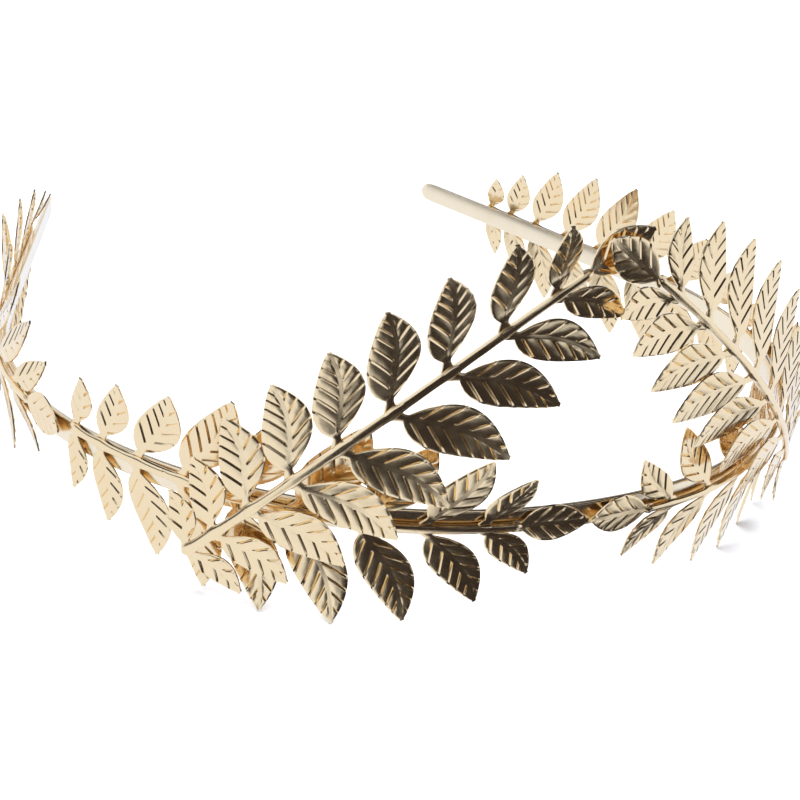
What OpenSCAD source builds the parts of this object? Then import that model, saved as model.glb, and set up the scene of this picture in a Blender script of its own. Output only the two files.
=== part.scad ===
// Open leaf crown: a flat band bent to a U that is open at the back, with six pressed
// leaf sprays fixed to its outside. Two sprays run forward along each arm of the band,
// and one on each side crosses them and rises to a peak above the middle of the front.
// Millimetres, +Z up, front towards -Y. The crown stands on the tips of its lower leaves.

/* [Band] */
// Height of the flat band
band_h = 4; // [3:0.5:5]
// Thickness of the band
band_t = 1; // [0.8:0.1:1.2]
// Height of the band's middle line above the surface that the leaf tips stand on
band_z = 16.05; // [15:0.05:17]
// Distance from the crown's middle forward to the band
band_front = 67.45; // [60:0.05:75]

/* [Leaves] */
// Width of a side leaf, as a share of its length
leaf_w = 0.4; // [0.3:0.01:0.42]
// Width of the leaf at the end of a stem, as a share of its length
end_leaf_w = 0.5; // [0.4:0.01:0.55]
// Thickness of the pressed metal
leaf_t = 0.6; // [0.5:0.1:0.8]
// Slope of each half of a leaf, up to the fold along its middle
leaf_fold = 0.16; // [0.1:0.02:0.3]
// Height of a pressed rib above the grooves beside it
rib_h = 0.25; // [0.1:0.05:0.3]
// Length of a leaf's stalk, as a share of the whole leaf
stalk = 0.15; // [0.1:0.01:0.2]

/* [Stems] */
// Width of a stem at its foot
stem_foot_w = 1.8; // [1.4:0.1:2]
// Width of a stem at its end leaf
stem_tip_w = 1.2; // [1:0.1:1.4]
// Height of a stem
stem_h = 0.9; // [0.8:0.1:1.2]
// Gap between the band and a spray that lies on it
seat_gap = 0.35; // [0.3:0.05:0.4]

/* [Hidden] */
gold = "#dcc49a";
pale_gold = "#e9dcc0";

// The band's plan from the middle of the front to one end, a row for each stretch
// [length, angle that it turns]
LENGTH = 0;
TURN = 1;
band_plan = [
    [19, 12],
    [57, 48],
    [43, 46],
    [19, 6.5],
    [49, 0],
];

// The leaf pairs of a spray from its foot, a row for each pair
// [place along the stem, length of the leaves, angle between leaf and stem]
PLACE = 0;
LEAF_L = 1;
SPREAD = 2;
leaf_pairs = [
    [0, 10, 71],
    [5.2, 12.9, 68],
    [11.8, 15.8, 66],
    [19.3, 17.2, 63],
    [27.5, 17.7, 61],
    [36.3, 18.1, 58],
    [45.7, 16.9, 56],
    [55.1, 15.1, 53],
    [63.9, 11.7, 51],
];
end_leaf_place = 68.4;
stem_l = 80.9;
foot_l = 1.1;

// How each spray lies, a row for each: [foot's place along the band from the front, foot's
// height above the band's middle line, stem's length as a share of stem_l, stem's slope
// [at the foot, change with the share of the stem, change with its square], distance from
// the band's middle line [at the foot, at the tip], and for the upper and then the lower
// leaves the outward bend and the angle added to SPREAD, each at the foot, at a quarter,
// the middle and three quarters of the leaf pairs, and at the tip]
FOOT_S = 0;
FOOT_Z = 1;
STRETCH = 2;
SLOPE = 3;
OUT = 4;
UPPER_BEND = 5;
UPPER_TURN = 6;
LOWER_BEND = 7;
LOWER_TURN = 8;
level = [0, 0, 0];
on_band = [band_t / 2 + seat_gap, band_t / 2 + seat_gap];
left_rear = [168, 1, 1.06, level, on_band,
    [-30, -12, 1, -18, -22], [1, 4, 6, 0, -11], [0, -2, -2, 1, -18], [0, 1, 3, 5, 6]];
right_rear = left_rear;
left_front = [81.3, 2.1, 1.01, [-3.4, -0.6, 6.9], on_band,
    [11, 13, -4, 0, 20], [9, 1, 5, 0, 7], [1, -5, 12, 11, -1], [13, 5, 4, 3, -6]];
right_front = [81.3, 1.1, 1, [-0.6, -11.2, 16.2], on_band,
    [5, -3, -9, -9, -6], [3, 5, 10, 12, -4], [0, -4, -7, -3, -10], [4, 3, 2, -3, -5]];
left_rising = [58.1, -8, 1.01, [48.6, -6.2, -13.1], [4.5, -0.7],
    [7, 14, 24, 23, 21], [-9, -5, -2, 7, 10], [3, 2, 7, 10, 5], [2, 0, 3, -3, 0]];
right_rising = [52.6, -3.6, 0.925, [46.8, -12.2, -2.2], [3.8, 0.9],
    [6, 0, -6, -13, -9], [-3, 2, 8, 9, 2], [6, -5, -12, -2, 16], [0, -2, -4, -5, -7]];

// Distance from the stem's middle line at which the leaves are bent outwards
bend_line = 2.2;
// Forward slant of the ribs, as a share of the blade
slant = 0.15;
// Leaves over this length have three pairs of ribs, and the others two
three_ribs_over = 16;

function rib_pairs(length) = length > three_ribs_over ? 3 : 2;

// Place and heading [x, y, angle] on the band's middle line, s along from the front
function plan_from(s, i, x, y, angle) =
    let (
        last = i == len(band_plan) - 1,
        run = last ? s : min(s, band_plan[i][LENGTH]),
        turn = band_plan[i][TURN] * run / band_plan[i][LENGTH],
        chord = turn == 0 ? run : run * sin(turn / 2) / (turn / 2 * PI / 180),
        nx = x + chord * cos(angle + turn / 2),
        ny = y + chord * sin(angle + turn / 2)
    )
    last || s <= band_plan[i][LENGTH]
        ? [nx, ny, angle + turn]
        : plan_from(s - band_plan[i][LENGTH], i + 1, nx, ny, angle + turn);
function plan_at(s) =
    let (p = plan_from(abs(s), 0, 0, 0, 0))
    s < 0 ? [-p[0], p[1], -p[2]] : p;

// A spray's own line: slope at a share of the stem, and run and rise up to place t
stem_steps = 16;
function slope_at(spray, share) = spray[SLOPE] * [1, share, share * share];
function run_to(spray, t) =
    [for (i = [1:stem_steps]) t * spray[STRETCH] / stem_steps]
    * [for (i = [1:stem_steps])
        let (a = slope_at(spray, t * (i - 0.5) / stem_steps / stem_l)) [cos(a), sin(a)]];
function ease(share) = share * share * (3 - 2 * share);
function stem_point(spray, t) =
    let (
        run = run_to(spray, t),
        p = plan_at(spray[FOOT_S] - run[0]),
        share = min(max(t / stem_l, 0), 1),
        out = spray[OUT][0] + (spray[OUT][1] - spray[OUT][0]) * ease(share)
    )
    [p[0] + out * sin(p[2]), p[1] - out * cos(p[2]), spray[FOOT_Z] + run[1]];

function unit(v) = v / norm(v);
// Axes of a spray at place t: along the stem, across it and outwards
function stem_axes(spray, t) =
    let (
        along = unit(stem_point(spray, t + 0.5) - stem_point(spray, t - 0.5)),
        heading = plan_at(spray[FOOT_S] - run_to(spray, t)[0])[2],
        radial = [sin(heading), -cos(heading), 0],
        out = unit(radial - along * (radial * along))
    )
    [along, cross(along, out), out];

// Faces that join rings of n points to a closed solid
function ring_faces(rings, n) = concat(
    [[for (j = [n - 1:-1:0]) j]],
    [[for (j = [0:n - 1]) (rings - 1) * n + j]],
    [for (i = [0:rings - 2], j = [0:n - 1])
        let (a = i * n, b = a + n, k = (j + 1) % n)
        each [[a + j, b + k, b + j], [a + j, a + k, b + k]]]
);

// Half width of a leaf at a share of its blade, for a blade one wide
function blade_half(u) = pow(max(sin(180 * pow(min(u, 1), 0.85)), 0), 0.75) / 2;

// Six points round a leaf at step i of n, with its length along x and its face up
leaf_foot = 0.25;
foot_half = 0.75;
stalk_half = 0.5;
point_half = 0.3;
function leaf_ring(i, n, length, width) =
    let (
        u = max(i, 0) / n,
        u_edge = u + slant * sin(180 * u),
        blade = length * (1 - stalk),
        x_mid = i < 0 ? leaf_foot : length * stalk + blade * u,
        x_edge = i < 0 ? leaf_foot : length * stalk + blade * u_edge,
        least = i < 0 ? foot_half : u < 0.5 ? stalk_half : point_half,
        half = max(width * blade_half(i < 0 ? 0 : u_edge), least),
        fold = i < 0 ? 0 : half * leaf_fold,
        rib = i > 0 && i < n && i % 2 == 1 ? rib_h : 0
    )
    [
        [x_edge, -half, 0],
        [x_mid, 0, fold],
        [x_edge, half, 0],
        [x_edge, half, leaf_t + rib * 0.7],
        [x_mid, 0, fold + leaf_t + rib],
        [x_edge, -half, leaf_t + rib * 0.7],
    ];

// A point of a spray [along, across, out], bent outwards past the bend line on one side
function bent(v, side, bend) =
    let (past = side * v[1] - bend_line)
    past <= 0 || side == 0 ? v : [
        v[0],
        side * (bend_line + past * cos(bend) - v[2] * sin(bend)),
        v[2] * cos(bend) + past * sin(bend),
    ];

// One leaf of a spray: side 1 is above the stem, -1 below, 0 at its end
leaf_lift = 0.1;
module leaf(spray, place, length, width, side, spread, bend) {
    steps = 2 * rib_pairs(length) + 1;
    origin = stem_point(spray, place);
    axes = stem_axes(spray, place);
    points = [for (i = [-1:steps]) each [for (p = leaf_ring(i, steps, length, width))
        let (
            flat = [
                p[0] * cos(spread) - side * p[1] * sin(spread),
                side * p[0] * sin(spread) + p[1] * cos(spread),
                p[2] + leaf_lift,
            ],
            v = bent(flat, side, bend)
        )
        origin + v * axes]];
    polyhedron(points, ring_faces(steps + 2, 6));
}

// The stem's five-sided section at place t, at a share of its full size
function stem_ring(spray, t, size) =
    let (
        share = min(max(t / stem_l, 0), 1),
        half = (stem_foot_w + (stem_tip_w - stem_foot_w) * share) / 2 * size,
        origin = stem_point(spray, t),
        axes = stem_axes(spray, t),
        middle = stem_h * 0.35
    )
    [for (v = [[-0.8, 0], [0.8, 0], [1, 0.4], [0, 1], [-1, 0.4]])
        origin + [0, v[0] * half, middle + (v[1] * stem_h - middle) * size] * axes];

// Places where the stem steps: its foot, between the leaf pairs, and under its end leaf
stem_joints = concat(
    [-foot_l],
    [for (i = [1:len(leaf_pairs) - 1]) (leaf_pairs[i - 1][PLACE] + leaf_pairs[i][PLACE]) / 2],
    [end_leaf_place + 1]
);
joint_lap = 0.3;
joint_size = 0.82;

// The stem swells a little before each leaf pair, so each length of it tapers forward
module stem(spray) {
    for (i = [0:len(stem_joints) - 2])
        hull()
            polyhedron(
                concat(
                    stem_ring(spray, stem_joints[i], i == 0 ? joint_size : 1),
                    stem_ring(spray, stem_joints[i + 1] + joint_lap, joint_size)
                ),
                ring_faces(2, 5)
            );
}

// Value at a share of the way from the first of some evenly spaced values to the last
function between(values, share) =
    lookup(share * (len(values) - 1), [for (i = [0:len(values) - 1]) [i, values[i]]]);

module leaf_spray(spray) {
    stem(spray);
    for (i = [0:len(leaf_pairs) - 1], side = [-1, 1]) {
        pair = leaf_pairs[i];
        share = i / (len(leaf_pairs) - 1);
        bend = between(side > 0 ? spray[UPPER_BEND] : spray[LOWER_BEND], share);
        turn = between(side > 0 ? spray[UPPER_TURN] : spray[LOWER_TURN], share);
        leaf(spray, pair[PLACE], pair[LEAF_L], pair[LEAF_L] * leaf_w, side,
            pair[SPREAD] + turn, bend);
    }
    end_l = stem_l - end_leaf_place;
    leaf(spray, end_leaf_place, end_l, end_l * end_leaf_w, 0, 0, 0);
}

// Puts a piece that is drawn for the right side in its place, or mirrored on the left
module placed(left = false) {
    translate([0, -band_front, band_z])
        mirror([left ? 1 : 0, 0, 0])
            children();
}

// A line beside the band's middle line, out to the side, from one end to the other
band_l = [for (row = band_plan) row[LENGTH]] * [for (row = band_plan) 1];
band_steps = 62;
function beside_band(out) =
    [for (i = [-band_steps:band_steps])
        let (p = plan_at(band_l * i / band_steps))
        [p[0] + out * sin(p[2]), p[1] - out * cos(p[2])]];

// What is cut off one end of the band to round it
module end_cutter() {
    p = plan_at(band_l);
    end_r = band_h * 0.57;
    over = band_h * 2;
    translate([p[0], p[1], 0]) rotate(p[2])
        difference() {
            translate([-sqrt(end_r * end_r - band_h * band_h / 4), -over / 2, -over / 2])
                translate([-0.2, 0, 0]) cube(over);
            translate([-end_r, 0, 0]) rotate([90, 0, 0])
                cylinder(h = 2 * over, r = end_r, center = true, $fn = 96);
        }
}

module headband() {
    inner = beside_band(-band_t / 2);
    outer = beside_band(band_t / 2);
    color(pale_gold)
        difference() {
            placed()
                translate([0, 0, -band_h / 2]) linear_extrude(band_h)
                    polygon(concat(outer, [for (i = [len(inner) - 1:-1:0]) inner[i]]));
            placed() end_cutter();
            placed(true) end_cutter();
        }
}

module left_rear_spray() { color(gold) placed(true) leaf_spray(left_rear); }
module right_rear_spray() { color(gold) placed() leaf_spray(right_rear); }
module left_front_spray() { color(gold) placed(true) leaf_spray(left_front); }
module right_front_spray() { color(gold) placed() leaf_spray(right_front); }
module left_rising_spray() { color(gold) placed(true) leaf_spray(left_rising); }
module right_rising_spray() { color(gold) placed() leaf_spray(right_rising); }

headband();
left_rear_spray();
right_rear_spray();
left_front_spray();
right_front_spray();
left_rising_spray();
right_rising_spray();
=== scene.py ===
# Leaf crown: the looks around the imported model. Sizes are in millimetres unless a note says metres.
import math
import bmesh
import bpy
import numpy as np
from mathutils import Matrix, Vector, noise


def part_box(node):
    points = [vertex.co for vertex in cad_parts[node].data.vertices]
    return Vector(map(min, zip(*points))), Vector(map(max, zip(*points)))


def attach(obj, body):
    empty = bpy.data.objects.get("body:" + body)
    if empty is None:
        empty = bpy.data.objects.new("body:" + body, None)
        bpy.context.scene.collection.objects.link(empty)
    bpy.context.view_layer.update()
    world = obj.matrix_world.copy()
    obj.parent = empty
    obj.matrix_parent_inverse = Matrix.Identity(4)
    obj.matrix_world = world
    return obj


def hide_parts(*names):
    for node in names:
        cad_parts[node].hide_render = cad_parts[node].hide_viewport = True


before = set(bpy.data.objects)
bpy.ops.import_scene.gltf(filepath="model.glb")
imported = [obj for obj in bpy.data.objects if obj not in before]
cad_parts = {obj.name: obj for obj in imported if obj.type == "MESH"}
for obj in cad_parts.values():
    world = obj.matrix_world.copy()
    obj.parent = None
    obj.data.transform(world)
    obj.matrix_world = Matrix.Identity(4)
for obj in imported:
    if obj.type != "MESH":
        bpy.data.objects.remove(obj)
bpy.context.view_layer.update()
mm = 0.001
print("frame loaded:", len(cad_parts), "nodes")

# The band, from the middle of its front to one end. Each stretch is [length, degrees that it turns].
band = {
    "plan": [[19, 12], [57, 48], [43, 46], [19, 6.5], [49, 0]],
    "thickness": 1.0,
    "cornerRound": 0.28,
    "cornerSteps": 4,
    "ringEvery": 1.5,
    "endRound": 2.2,  # length over which an end is rounded
    "endRings": (0.02, 0.06, 0.13, 0.25, 0.42, 0.65),  # more rings there, in shares of that length
    "endTall": 0.1,  # share of the height that is left at the very end
    "endThin": 0.35,  # share of the thickness that is lost there
}
bandLow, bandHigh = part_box("headband")
bandHeight = (bandHigh.z - bandLow.z) / mm
bandFront = bandLow.y / mm + band["thickness"] / 2  # y of the band's middle line at the front
bandLevel = (bandLow.z + bandHigh.z) / 2 / mm
bandLength = sum(length for length, turn in band["plan"])


def planAt(along):
    # Place and heading on the band's middle line, as far along from the middle of the front
    x = y = angle = 0.0
    left = abs(along)
    for index, (length, turn) in enumerate(band["plan"]):
        run = left if index == len(band["plan"]) - 1 else min(left, length)
        turned = math.radians(turn * run / length)
        chord = run if turned == 0 else run * math.sin(turned / 2) / (turned / 2)
        x += chord * math.cos(angle + turned / 2)
        y += chord * math.sin(angle + turned / 2)
        angle += turned
        left -= run
        if left <= 0:
            break
    return (x, y, angle) if along >= 0 else (-x, y, -angle)


def inFrame(points, side=1):
    # Millimetres from the band's middle line, drawn for the right side, to metres in the frame
    placed = np.array(points, float) * (side, 1, 1) + (0, bandFront, bandLevel)
    return placed * mm


def makeObject(name, points, faces, material):
    mesh = bpy.data.meshes.new(name)
    mesh.from_pydata([tuple(p) for p in points], [], faces)
    solid = bmesh.new()
    solid.from_mesh(mesh)
    bmesh.ops.recalc_face_normals(solid, faces=solid.faces)
    for face in solid.faces:
        face.smooth = True
    solid.to_mesh(mesh)
    solid.free()
    mesh.materials.append(material)
    piece = bpy.data.objects.new(name, mesh)
    bpy.context.scene.collection.objects.link(piece)
    return piece


def ringFaces(rings, around):
    # Quads between closed rings of points, and one face that closes each end
    faces = []
    for ring in range(rings - 1):
        a, b = ring * around, (ring + 1) * around
        for j in range(around):
            k = (j + 1) % around
            faces.append((a + j, a + k, b + k, b + j))
    faces.append(tuple(range(around)))
    faces.append(tuple(range((rings - 1) * around, rings * around)))
    return faces


def linear(hexColour):
    # sRGB hex to the linear colour that a shader takes
    parts = [int(hexColour[i:i + 2], 16) / 255 for i in (1, 3, 5)]
    return [c / 12.92 if c <= 0.04045 else ((c + 0.055) / 1.055) ** 2.4 for c in parts] + [1.0]


def addNode(tree, kind, inputs=None, **settings):
    # Adds one node: settings go on the node, inputs are values or other nodes' outputs
    node = tree.nodes.new(kind)
    for name, value in settings.items():
        setattr(node, name, value)
    for socket, value in (inputs or {}).items():
        if isinstance(value, bpy.types.NodeSocket):
            tree.links.new(value, node.inputs[socket])
        else:
            node.inputs[socket].default_value = value
    return node


def newMaterial(name):
    material = bpy.data.materials.new(name)
    material.use_nodes = True
    material.node_tree.nodes.clear()
    return material, material.node_tree


# Camera at the photograph's angle: where it stands from the band's front, and how it looks.
view = {
    "place": (-130.9, -169.0, 117.1),
    "turn": 29.81,  # degrees from +Y towards +X
    "down": 25.86,  # degrees below level
    "roll": 8.17,  # degrees that its right side is raised
    "lens": 71.8,
    "sensor": 36.0,
    "clip": (0.01, 50),  # metres
}


def makeCamera():
    turn, down, roll = (math.radians(view[key]) for key in ("turn", "down", "roll"))
    forward = Vector((math.sin(turn) * math.cos(down), math.cos(turn) * math.cos(down), -math.sin(down)))
    level = Vector((math.cos(turn), -math.sin(turn), 0))
    upright = level.cross(forward)
    right = level * math.cos(roll) + upright * math.sin(roll)
    top = upright * math.cos(roll) - level * math.sin(roll)
    data = bpy.data.cameras.new("camera")
    data.lens = view["lens"]
    data.sensor_width = view["sensor"]
    data.clip_start, data.clip_end = view["clip"]
    camera = bpy.data.objects.new("camera", data)
    camera.matrix_world = Matrix.Translation(inFrame(view["place"])) @ Matrix(
        (right, top, -forward)).transposed().to_4x4()
    bpy.context.scene.collection.objects.link(camera)
    bpy.context.scene.camera = camera


makeCamera()
print("camera placed")

# Gold-plated brass, tumbled bright after pressing: pale champagne, sharp but slightly wavy
# reflections, and warmer where one leaf mirrors another.
platedGold = {
    "pale": "#F9DFB1",
    "warm": "#F5D6A2",
    "patchSize": 9.0,  # mm across a patch where the plating is thinner
    "roughness": (0.15, 0.24),
    "rubSize": 2.5,  # mm across a patch of tumbling haze
    "grainSize": 0.45,  # mm, the press marks, drawn as coarse as the picture can show
    "grainHeight": 0.004,
}

# The same plating on rolled strip, left half satin: softer reflections than the leaves have, and
# shallower marks.
satinGold = {
    "pale": "#FBE9C8",
    "warm": "#F7DFB4",
    "patchSize": 14.0,
    "roughness": (0.17, 0.27),
    "rubSize": 5.0,
    "grainSize": 0.6,
    "grainHeight": 0.003,
}


def makeGold(name, look):
    material, tree = newMaterial(name)
    place = addNode(tree, "ShaderNodeTexCoord").outputs["Object"]
    patch = addNode(tree, "ShaderNodeTexNoise", {
        "Vector": place, "Scale": 1 / (look["patchSize"] * mm), "Detail": 3.0, "Roughness": 0.6})
    tint = addNode(tree, "ShaderNodeMix", {
        "Factor": patch.outputs["Fac"], "A": linear(look["pale"]), "B": linear(look["warm"])},
        data_type="RGBA")
    rub = addNode(tree, "ShaderNodeTexNoise", {
        "Vector": place, "Scale": 1 / (look["rubSize"] * mm), "Detail": 4.0, "Roughness": 0.65})
    low, high = look["roughness"]
    haze = addNode(tree, "ShaderNodeMapRange", {
        "Value": rub.outputs["Fac"], "From Min": 0.3, "From Max": 0.7, "To Min": low, "To Max": high})
    grain = addNode(tree, "ShaderNodeTexNoise", {
        "Vector": place, "Scale": 1 / (look["grainSize"] * mm), "Detail": 2.0, "Roughness": 0.5})
    bump = addNode(tree, "ShaderNodeBump", {
        "Height": grain.outputs["Fac"], "Strength": 1.0, "Distance": look["grainHeight"] * mm})
    shader = addNode(tree, "ShaderNodeBsdfPrincipled", {
        "Base Color": tint.outputs["Result"], "Metallic": 1.0, "Roughness": haze.outputs["Result"],
        "Normal": bump.outputs["Normal"]})
    addNode(tree, "ShaderNodeOutputMaterial", {"Surface": shader.outputs["BSDF"]})
    return material


leafGold = makeGold("plated_gold_bright", platedGold)
bandGold = makeGold("plated_gold_satin", satinGold)
print("metals made")

# The stem of every spray. Each pair of leaves is [its place along the stem, the leaves' length,
# the degrees between them and the stem].
sprayStem = {
    "pairs": [
        (0, 10, 71), (5.2, 12.9, 68), (11.8, 15.8, 66), (19.3, 17.2, 63), (27.5, 17.7, 61),
        (36.3, 18.1, 58), (45.7, 16.9, 56), (55.1, 15.1, 53), (63.9, 11.7, 51)],
    "endLeafAt": 68.4,
    "underEndLeaf": 1.6,  # how far the stem runs on under the end leaf
    "length": 80.9,  # to the tip of the end leaf
    "slopeSteps": 16,  # in how many steps a stem's slope is added up
    "foot": 1.1,  # how far the stem sticks out behind the first pair
    "footWidth": 1.8,
    "tipWidth": 1.2,
    "height": 0.95,
    "offBand": 0.35,  # from the outside of the band to the stem's underside
    "neck": 0.9,  # share of the width that the stem has between two pairs
    "swell": 0.22,  # share by which it gets wider where a pair of stalks joins it
    "swellAhead": 0.4,  # from a pair's place to the middle of the swelling
    "swellReach": 1.1,
    "endRound": 1.0,  # length over which an end is rounded
    "endCut": 0.02,  # share of that length which is left off at the very end
    "ringEvery": 0.6,
    "around": 14,
    "shoulder": 0.65,  # 1 for a round section, less for a flat top with rounded edges
}

# How each spray lies on the crown: its side, 1 for right and -1 for left, where its foot is along
# the band and above the band's middle, how many times as long as the plain stem it is, and how far
# out from the band's middle line its stem is at foot and tip. A slope of (a, b, c) is
# a + b * s + c * s * s degrees, a share s along the stem. The leaves' bends and turns, in degrees,
# are given at the foot, at a quarter, the middle and three quarters of the pairs, and at the tip.
onBand = band["thickness"] / 2 + sprayStem["offBand"]
rearSpray = {
    "footAt": 168, "footUp": 1, "stretch": 1.06, "slope": (0, 0, 0), "out": (onBand, onBand),
    "upperBend": (-30, -12, 1, -18, -22), "upperTurn": (1, 4, 6, 0, -11),
    "lowerBend": (0, -2, -2, 1, -18), "lowerTurn": (0, 1, 3, 5, 6)}
sprays = {
    "left_rear_spray": dict(rearSpray, side=-1),
    "right_rear_spray": dict(rearSpray, side=1),
    "left_front_spray": {
        "side": -1, "footAt": 81.3, "footUp": 2.1, "stretch": 1.01, "slope": (-3.4, -0.6, 6.9),
        "out": (onBand, onBand),
        "upperBend": (11, 13, -4, 0, 20), "upperTurn": (9, 1, 5, 0, 7),
        "lowerBend": (1, -5, 12, 11, -1), "lowerTurn": (13, 5, 4, 3, -6)},
    "right_front_spray": {
        "side": 1, "footAt": 81.3, "footUp": 1.1, "stretch": 1, "slope": (-0.6, -11.2, 16.2),
        "out": (onBand, onBand),
        "upperBend": (5, -3, -9, -9, -6), "upperTurn": (3, 5, 10, 12, -4),
        "lowerBend": (0, -4, -7, -3, -10), "lowerTurn": (4, 3, 2, -3, -5)},
    "left_rising_spray": {
        "side": -1, "footAt": 58.1, "footUp": -8, "stretch": 1.01, "slope": (48.6, -6.2, -13.1),
        "out": (4.5, -0.7),
        "upperBend": (7, 14, 24, 23, 21), "upperTurn": (-9, -5, -2, 7, 10),
        "lowerBend": (3, 2, 7, 10, 5), "lowerTurn": (2, 0, 3, -3, 0)},
    "right_rising_spray": {
        "side": 1, "footAt": 52.6, "footUp": -3.6, "stretch": 0.925, "slope": (46.8, -12.2, -2.2),
        "out": (3.8, 0.9),
        "upperBend": (6, 0, -6, -13, -9), "upperTurn": (-3, 2, 8, 9, 2),
        "lowerBend": (6, -5, -12, -2, 16), "lowerTurn": (0, -2, -4, -5, -7)},
}

# One pressed leaf, in shares of its length unless a note says otherwise.
leafShape = {
    # Half width of the blade, and the share of its length at which that half is widest: on the
    # side of the stem's foot, on the side of the stem's tip, and for the leaf that ends a stem
    "footSide": (0.23, 0.4),
    "tipSide": (0.195, 0.5),
    "endSide": (0.25, 0.46),
    "fullness": 0.75,  # power of the sine that draws a half, under 1 for blunter ends
    "bow": 0.07,  # how far the midrib bows to the side of the stem's tip
    "hook": 1.2,  # over 1, the bow lies past the leaf's middle, and the tip hooks back more
    "stalk": 0.11,
    "sheet": 0.32,  # mm
    "lift": 0.16,  # mm, from the stem's underside to the leaf's
    "fold": 0.03,  # slope of each half up to the midrib
    "dome": 0.004,  # how much each half is cushioned between midrib and edge
    "curl": 0.02,  # bow of the blade towards the band, so that its tip stands out
    "curlRange": (0.6, 1.4),  # each leaf has its curl times a number drawn from this range
    "twist": 3,  # degrees, the most that a leaf is twisted at its tip, either way
    "veinAngle": (47, 35),  # degrees between a vein and the midrib, at the leaf's base and tip
    "veinFoot": 0.5,  # mm from the blade's base to the first vein
    "veinsEnd": 0.9,  # share of the blade that has veins
    "veinsLevel": 0.8,  # share of the blade past which the two halves' veins draw level
    "veinPitch": 2.25,  # mm between two veins, along the midrib
    "veinHalf": 0.3,  # mm from a vein's bottom to its edge, along the midrib
    "veinDepth": 0.24,  # mm
    "veinFade": 0.25,  # share of that depth which is gone where a vein reaches the edge
    "veinStart": 0.05,  # share of a half's width over which a vein gets its depth
    "veinRoom": (0.5, 1.1),  # mm, half widths at which the veins have none and all of it
    "barRise": 0.03,  # mm that the bar between two veins swells
    "smoothHalf": 0.38,  # mm, half of the smooth strip along the middle of the leaf
    "smoothMost": 0.4,  # the most of a half's width that the strip takes
    "growth": (-0.2, 1.2),  # mm from the blade's base, over which the stalk becomes the blade
    "stalkHalf": 0.6,  # mm
    "stalkDome": 0.1,  # mm that the stalk's middle stands above its edges
    "webHalf": 1.05,  # mm, half width where the stalk leaves the stem
    "webReach": 1.2,  # mm
    "pointHalf": 0.36,  # mm, half width of the tip's blunt end
    "rim": 0.06,  # mm, how the sheet's edge is rounded
    "rimFrom": 0.95,  # share of a half's width where the rounding starts and the veins end
    "backRim": 0.6,  # share of the rounding that the back gets
    "wave": 0.03,  # mm, unevenness left by the press
    "waveSize": 3.2,  # mm
    "bendLine": 2.2,  # mm from the stem's middle line
    "bendLength": 1.6,  # mm over which the leaf is bent
    "creaseAngle": 28,  # degrees over which an edge of the sheet is drawn sharp
    # Where the mesh has rows along the leaf, and columns from the midrib to the edge
    "stalkRows": (0.86, 0.7, 0.5, 0.3, 0.12),  # shares of the stalk, back from the blade
    "footRows": (0, 0.2, 0.4, 0.6, 0.8),  # shares of the way to the first vein
    "barRows": ((0.12, 0.4), (0.3, 0.85), (0.5, 1), (0.7, 0.85), (0.88, 0.4)),  # [place, swell]
    "tipRows": (0.93, 0.96, 0.985, 1),  # shares of the blade
    "stripColumn": 0.6,  # share of the smooth strip
    "columns": (0.5, 0.72, 0.88, 0.975, 1),  # shares of a half's width, past the strip
}


def stemRun(spray, along):
    # Run along the band and rise, from the spray's foot to a place along its stem
    steps = sprayStem["slopeSteps"]
    atFoot, change, bend = spray["slope"]
    run = rise = 0.0
    for i in range(steps):
        share = along * (i + 0.5) / steps / sprayStem["length"]
        angle = math.radians(atFoot + change * share + bend * share * share)
        run += math.cos(angle)
        rise += math.sin(angle)
    reach = along * spray["stretch"] / steps
    return run * reach, rise * reach


def stemPoint(spray, along):
    run, rise = stemRun(spray, along)
    x, y, heading = planAt(spray["footAt"] - run)
    share = min(max(along / sprayStem["length"], 0), 1)
    eased = share * share * (3 - 2 * share)
    out = spray["out"][0] + (spray["out"][1] - spray["out"][0]) * eased
    return np.array((x + out * math.sin(heading), y - out * math.cos(heading), spray["footUp"] + rise))


def stemAxes(spray, along):
    # Rows: along the stem, measured over 1 mm of it, then across it, and out from the band
    ahead = stemPoint(spray, along + 0.5) - stemPoint(spray, along - 0.5)
    ahead /= np.linalg.norm(ahead)
    heading = planAt(spray["footAt"] - stemRun(spray, along)[0])[2]
    radial = np.array((math.sin(heading), -math.cos(heading), 0))
    out = radial - ahead * (radial @ ahead)
    out /= np.linalg.norm(out)
    return np.array((ahead, np.cross(ahead, out), out))


def between(values, share):
    # Value at a share of the way from the first of some evenly spaced values to the last
    return float(np.interp(share * (len(values) - 1), range(len(values)), values))


def bentOut(points, side, bend):
    # Bends a flat leaf away from the band over a short arc that starts near the bend line
    if side == 0 or abs(bend) < 0.01:
        return points
    arc = leafShape["bendLength"]
    angle = math.radians(bend)
    start = leafShape["bendLine"] - arc / 2
    past = np.clip(side * points[:, 1] - start, 0, None)
    turned = angle * np.clip(past / arc, 0, 1)
    beyond = np.clip(past - arc, 0, None)
    radius = arc / angle
    flatY = np.minimum(side * points[:, 1], start)
    y = flatY + radius * np.sin(turned) + beyond * math.cos(angle) - points[:, 2] * np.sin(turned)
    z = radius * (1 - np.cos(turned)) + beyond * math.sin(angle) + points[:, 2] * np.cos(turned)
    return np.stack((points[:, 0], side * y, z), 1)


def bladeHalf(share, widest):
    # Half width of a blade along its length, as a share of its greatest, which is at widest
    power = math.log(0.5) / math.log(widest)
    return max(math.sin(math.pi * min(share, 1) ** power), 0) ** leafShape["fullness"]


def ramp(value, start, end):
    return min(max((value - start) / (end - start), 0), 1)


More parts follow.
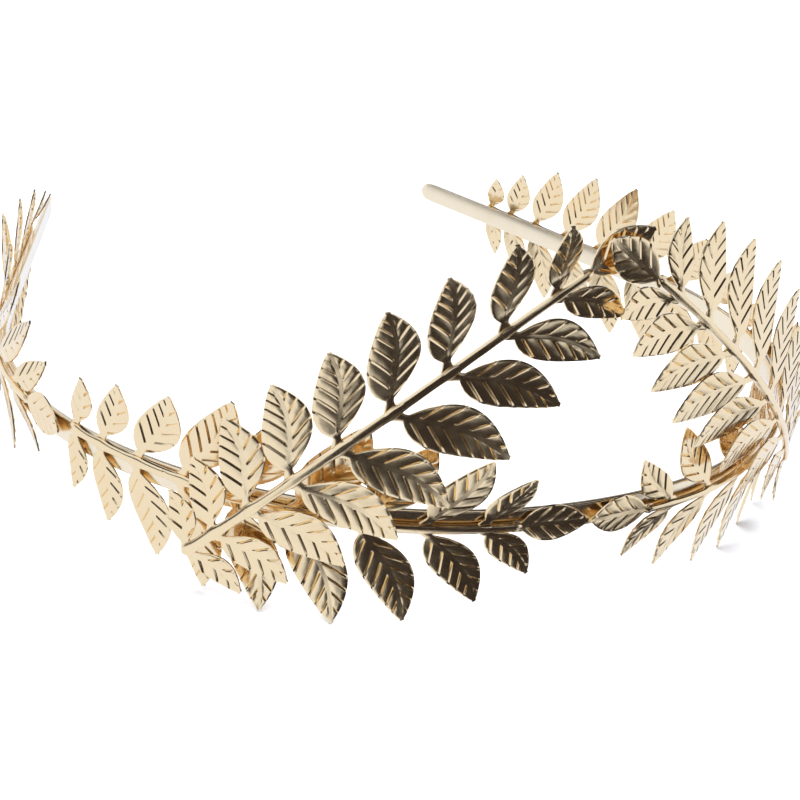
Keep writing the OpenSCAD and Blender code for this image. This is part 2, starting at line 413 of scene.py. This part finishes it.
def leafRows(blade):
    # Where rows of the mesh leave the midrib, in mm from the blade's base. Each row is
    # [place, depth of the vein there as a share, swell of the bar there as a share].
    shape = leafShape
    edge, foot = shape["veinHalf"], shape["veinFoot"]
    room = shape["veinsEnd"] * blade - foot
    veins = max(1, round(room / shape["veinPitch"]))
    pitch = room / veins
    bar = pitch - 2 * edge
    rows = [(foot * share, 0, 0) for share in shape["footRows"]]
    for vein in range(veins):
        start = foot + vein * pitch
        rows += [(start, 0, 0), (start + edge, 1, 0), (start + 2 * edge, 0, 0)]
        rows += [(start + 2 * edge + bar * share, 0, swell) for share, swell in shape["barRows"]]
    rows += [(blade * share, 0, 0) for share in (shape["veinsEnd"], *shape["tipRows"])]
    return rows, pitch


def veinEnd(start, blade, most, widest, angle):
    # Where a line that leaves the midrib at an angle meets the blade's edge: along it and across
    low, high = start, blade
    for halving in range(18):  # to within 0.0001 mm
        x = (low + high) / 2
        half = max(most * bladeHalf(x / blade, widest), leafShape["pointHalf"])
        if (x - start) * math.sin(angle) < half * math.cos(angle):
            low = x
        else:
            high = x
    least = leafShape["stalkHalf"] if low < blade / 2 else leafShape["pointHalf"]
    return low, max(most * bladeHalf(low / blade, widest), least)


def leafGrid(length, side, chance):
    # Points of a leaf's face and back, row by row, with x along the leaf and z out. The side is 1
    # or -1 for a leaf on either side of the stem, and 0 for the leaf that ends it.
    shape = leafShape
    stalk = length * shape["stalk"]
    blade = length - stalk
    curl = shape["curl"] * length * chance.uniform(*shape["curlRange"])
    twist = math.radians(chance.uniform(-shape["twist"], shape["twist"]))
    bladeRows, pitch = leafRows(blade)
    stalkRows = [(-stalk * share, 0, 0) for share in shape["stalkRows"]]
    rows = []
    for start, vein, swell in stalkRows + bladeRows:
        u = max(start, 0) / blade
        grown = ramp(start, *shape["growth"])
        # Rows run straight across at the blade's base, and fan out to the veins' angle
        fanned = ramp(start, 0, shape["veinFoot"])
        veinAngle = np.interp(u, (0, 1), shape["veinAngle"])
        angle = math.radians(np.interp(fanned, (0, 1), (90, veinAngle)))
        row = []
        for hand in (-1, 1):
            which = "endSide" if side == 0 else "footSide" if hand == side else "tipSide"
            most, widest = shape[which]
            # The veins of one half start between those of the other
            shift = 0.5 * pitch * fanned * ramp(u, 1, shape["veinsLevel"]) if hand > 0 else 0
            along, half = veinEnd(max(start, 0) + shift, blade, most * length, widest, angle)
            if start < 0:
                web = math.exp(-((stalk + start) / shape["webReach"]) ** 2)
                along, half = start, shape["stalkHalf"] + (shape["webHalf"] - shape["stalkHalf"]) * web
            strip = min(shape["smoothHalf"] / half, shape["smoothMost"])
            pressedFrom = strip + shape["veinStart"]
            columns = [0, strip * shape["stripColumn"], strip, pressedFrom, *shape["columns"]]
            for v in reversed(columns) if hand < 0 else columns[1:]:
                leaving = start + shift * ramp(v, 0, strip)
                x = leaving + (along - leaving) * v
                y = hand * half * v
                z = shape["stalkDome"] * (1 - v * v) * (1 - grown)
                z += half * (shape["fold"] * (1 - v) + shape["dome"] * 4 * v * (1 - v)) * grown
                pressed = ramp(v, strip, pressedFrom) * ramp(half, *shape["veinRoom"])
                pressed *= ramp(v, 1, shape["rimFrom"])
                pressed *= 1 - shape["veinFade"] * v
                z += (shape["barRise"] * swell - shape["veinDepth"] * vein) * pressed
                alongBlade = ramp(x / blade, 0, 1)
                y -= side * shape["bow"] * length * math.sin(math.pi * alongBlade ** shape["hook"])
                z -= curl * 4 * alongBlade * (1 - alongBlade)
                z += math.sin(twist) * y * alongBlade
                row.append((stalk + x, y, z, shape["rim"] * ramp(v, shape["rimFrom"], 1)))
        rows.append(row)
    grid = np.array(rows)
    face = grid[:, :, :3].copy()
    back = grid[:, :, :3].copy()
    face[:, :, 2] += shape["sheet"] - grid[:, :, 3]
    back[:, :, 2] += grid[:, :, 3] * shape["backRim"]
    return face, back


def closedSheet(face, back, first):
    # Both sides of a grid of points joined to one closed sheet
    rows, columns = face.shape[:2]
    points = np.concatenate((face.reshape(-1, 3), back.reshape(-1, 3)))
    under = rows * columns
    faces = []
    for r in range(rows - 1):
        for c in range(columns - 1):
            a = first + r * columns + c
            faces.append((a, a + 1, a + 1 + columns, a + columns))
            b = a + under
            faces.append((b, b + columns, b + 1 + columns, b + 1))
        for c in (0, columns - 1):
            a = first + r * columns + c
            faces.append((a, a + columns, a + columns + under, a + under))
    for r in (0, rows - 1):
        for c in range(columns - 1):
            a = first + r * columns + c
            faces.append((a, a + under, a + 1 + under, a + 1))
    return points, faces


def leafInSpray(spray, place, length, side, spread, bend, chance, first):
    # One leaf, spread from the stem, bent out from the band and laid in its place on the stem
    face, back = leafGrid(length, side, chance)
    points, faces = closedSheet(face, back, first)
    spread = math.radians(spread)
    x, y, z = points.T
    x, y = (x * math.cos(spread) - side * y * math.sin(spread),
            side * x * math.sin(spread) + y * math.cos(spread))
    flat = np.stack((x, y, z + leafShape["lift"]), 1)
    bent = bentOut(flat, side, bend)
    return stemPoint(spray, place) + bent @ stemAxes(spray, place), faces


def stemInSpray(spray):
    # A flat-topped stem that swells where the stalks join it
    stem = sprayStem
    start, end = -stem["foot"], stem["endLeafAt"] + stem["underEndLeaf"]
    rings = int((end - start) / stem["ringEvery"])
    joins = [pair[0] + stem["swellAhead"] for pair in stem["pairs"]]
    points = []
    for i in range(rings + 1):
        along = start + (end - start) * i / rings
        share = min(max(along / stem["length"], 0), 1)
        swell = max(math.exp(-((along - join) / stem["swellReach"]) ** 2) for join in joins)
        half = (stem["footWidth"] + (stem["tipWidth"] - stem["footWidth"]) * share) / 2
        half *= stem["neck"] + stem["swell"] * swell
        toEnd = min(along - start, end - along) / stem["endRound"]
        size = math.sqrt(1 - (1 - min(max(toEnd, stem["endCut"]), 1)) ** 2)
        origin = stemPoint(spray, along)
        axes = stemAxes(spray, along)
        for j in range(stem["around"]):
            turn = 2 * math.pi * j / stem["around"]
            across = math.copysign(abs(math.cos(turn)) ** stem["shoulder"], math.cos(turn))
            up = math.copysign(abs(math.sin(turn)) ** stem["shoulder"], math.sin(turn))
            out = stem["height"] * (0.5 + 0.5 * up * size)
            points.append(origin + np.array((0, half * across * size, out)) @ axes)
    return np.array(points), ringFaces(rings + 1, stem["around"])


def waved(points, seed):
    # Slow unevenness, so that polished metal doesn't mirror like glass
    noise.seed_set(seed)  # without it, the noise is seeded by the clock
    size = leafShape["waveSize"]
    return np.array([
        np.array(p) + np.array(noise.noise_vector(Vector(p) / size)) * leafShape["wave"]
        for p in points])


def makeSpray(name, spray, seed):
    chance = np.random.default_rng(seed)
    stem = sprayStem
    points, faces = stemInSpray(spray)
    parts = [points]
    count = len(points)
    last = len(stem["pairs"]) - 1
    for i, (place, length, spread) in enumerate(stem["pairs"]):
        for side, which in ((1, "upper"), (-1, "lower")):
            bend = between(spray[which + "Bend"], i / last)
            turn = between(spray[which + "Turn"], i / last)
            points, more = leafInSpray(spray, place, length, side, spread + turn, bend, chance, count)
            parts.append(points)
            faces += more
            count += len(points)
    length = stem["length"] - stem["endLeafAt"]
    points, more = leafInSpray(spray, stem["endLeafAt"], length, 0, 0, 0, chance, count)
    parts.append(points)
    faces += more
    allPoints = waved(np.concatenate(parts), seed)
    piece = makeObject(name + "_leaves", inFrame(allPoints, spray["side"]), faces, leafGold)
    piece.data.set_sharp_from_angle(angle=math.radians(leafShape["creaseAngle"]))
    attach(piece, "root")
    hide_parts(name)
    print(name, len(faces), "faces")


for number, (sprayName, sprayRow) in enumerate(sprays.items(), 1):
    makeSpray(sprayName, sprayRow, number)


def bandSection():
    # Rounded corners of the strip's section: across the thickness, and up
    halfT = band["thickness"] / 2
    halfH = bandHeight / 2
    corner = band["cornerRound"]
    section = []
    for cornerX, cornerZ, start in ((1, 1, 0), (-1, 1, 90), (-1, -1, 180), (1, -1, 270)):
        for step in range(band["cornerSteps"] + 1):
            turn = math.radians(start + 90 * step / band["cornerSteps"])
            section.append((
                cornerX * (halfT - corner) + corner * math.cos(turn),
                cornerZ * (halfH - corner) + corner * math.sin(turn)))
    return section


def makeBand():
    section = bandSection()
    rings = int(2 * bandLength / band["ringEvery"])
    places = [-bandLength + 2 * bandLength * i / rings for i in range(rings + 1)]
    for share in band["endRings"]:
        places += [s * (bandLength - band["endRound"] * share) for s in (-1, 1)]
    points = []
    for along in sorted(places):
        x, y, heading = planAt(along)
        toEnd = min((bandLength - abs(along)) / band["endRound"], 1)
        tall = math.sqrt(max(1 - (1 - toEnd) ** 2, band["endTall"] ** 2))
        thin = 1 - band["endThin"] * (1 - toEnd) ** 4
        for across, up in section:
            out = across * thin
            points.append((x + out * math.sin(heading), y - out * math.cos(heading), up * tall))
    piece = makeObject("headband_strip", inFrame(points), ringFaces(len(places), len(section)), bandGold)
    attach(piece, "root")
    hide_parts("headband")
    print("headband made")


makeBand()

# Studio: a pale floor, a white tent all round, and black cards hung where the dark leaves look.
studio = {
    "floor": "#FFF6E6",
    "floorSize": 2.0,  # metres, about as far as the softbox reaches
    "backdrop": "#FFFFFF",
    "backdropStrength": 1.1,
    "tent": "#DFE9FF",  # daylight, a little blue, which the floor's warm white evens out
    "tentStrength": 1.3,
    "card": "#2E2A2B",
    # [where a card hangs, in degrees from the front towards the left, and up; half size; soft edge]
    "cards": [
        [12, -13, 21, 6], [-20, -20, 16, 8], [-40, -20, 8, 5], [-12, -42, 7, 4], [-38, -47, 9, 4],
        [-64, -41, 9, 5], [-45, -63, 10, 4], [-30, 2, 7, 5], [-42, 20, 10, 5], [-5, 38, 25, 10],
        [42, 36, 9, 6], [-62, 40, 20, 8], [116, 36, 14, 6], [-140, 45, 18, 10], [66, -4, 6, 4],
        [80, -3, 8, 4], [97, -2, 8, 4]],
    "softboxHeight": 1.2,  # metres above the floor
    "softboxSize": 1.6,
    "softboxPower": 40.0,
}


def makeWorld():
    world = bpy.data.worlds.new("studio")
    world.use_nodes = True
    tree = world.node_tree
    tree.nodes.clear()
    bpy.context.scene.world = world
    direction = addNode(tree, "ShaderNodeTexCoord").outputs["Generated"]
    tentLeft = None
    for fromFront, up, half, soft in studio["cards"]:
        turn, rise = math.radians(fromFront), math.radians(up)
        card = (-math.sin(turn) * math.cos(rise), -math.cos(turn) * math.cos(rise), math.sin(rise))
        facing = addNode(tree, "ShaderNodeVectorMath", {0: direction, 1: card}, operation="DOT_PRODUCT")
        besideCard = addNode(tree, "ShaderNodeMapRange", {
            "Value": facing.outputs["Value"], "From Min": math.cos(math.radians(half + soft)),
            "From Max": math.cos(math.radians(half)), "To Min": 1.0, "To Max": 0.0},
            interpolation_type="SMOOTHSTEP").outputs["Result"]
        tentLeft = besideCard if tentLeft is None else addNode(
            tree, "ShaderNodeMath", {0: tentLeft, 1: besideCard}, operation="MULTIPLY").outputs["Value"]
    seen = addNode(tree, "ShaderNodeMix", {
        "Factor": tentLeft, "A": linear(studio["card"]), "B": linear(studio["tent"])}, data_type="RGBA")
    tent = addNode(tree, "ShaderNodeBackground", {
        "Color": seen.outputs["Result"], "Strength": studio["tentStrength"]})
    backdrop = addNode(tree, "ShaderNodeBackground", {
        "Color": linear(studio["backdrop"]), "Strength": studio["backdropStrength"]})
    ray = addNode(tree, "ShaderNodeLightPath")
    both = addNode(tree, "ShaderNodeMixShader", {
        0: ray.outputs["Is Camera Ray"],
        1: tent.outputs["Background"],
        2: backdrop.outputs["Background"]})
    addNode(tree, "ShaderNodeOutputWorld", {"Surface": both.outputs["Shader"]})


def makeFloor():
    half = studio["floorSize"] / 2
    material, tree = newMaterial("painted_board")
    # Matt painted board: even and pale, with a grain too fine to draw
    shader = addNode(tree, "ShaderNodeBsdfPrincipled", {
        "Base Color": linear(studio["floor"]), "Roughness": 0.9, "Specular IOR Level": 0.2})
    addNode(tree, "ShaderNodeOutputMaterial", {"Surface": shader.outputs["BSDF"]})
    floor = makeObject("floor", [(-half, -half, 0), (half, -half, 0), (half, half, 0), (-half, half, 0)],
                       [(0, 1, 2, 3)], material)
    floor.visible_glossy = False  # the metal mirrors the tent and the cards instead


def makeSoftbox():
    # Lights the board from above, in the tent's colour. The metal mirrors the tent, not this lamp.
    lamp = bpy.data.lights.new("softbox", "AREA")
    lamp.size = studio["softboxSize"]
    lamp.energy = studio["softboxPower"]
    lamp.color = linear(studio["tent"])[:3]
    softbox = bpy.data.objects.new("softbox", lamp)
    softbox.location = (0, 0, studio["softboxHeight"])
    softbox.visible_glossy = False
    bpy.context.scene.collection.objects.link(softbox)


makeWorld()
makeFloor()
makeSoftbox()
bpy.context.scene.view_settings.view_transform = "Standard"
print("studio made")
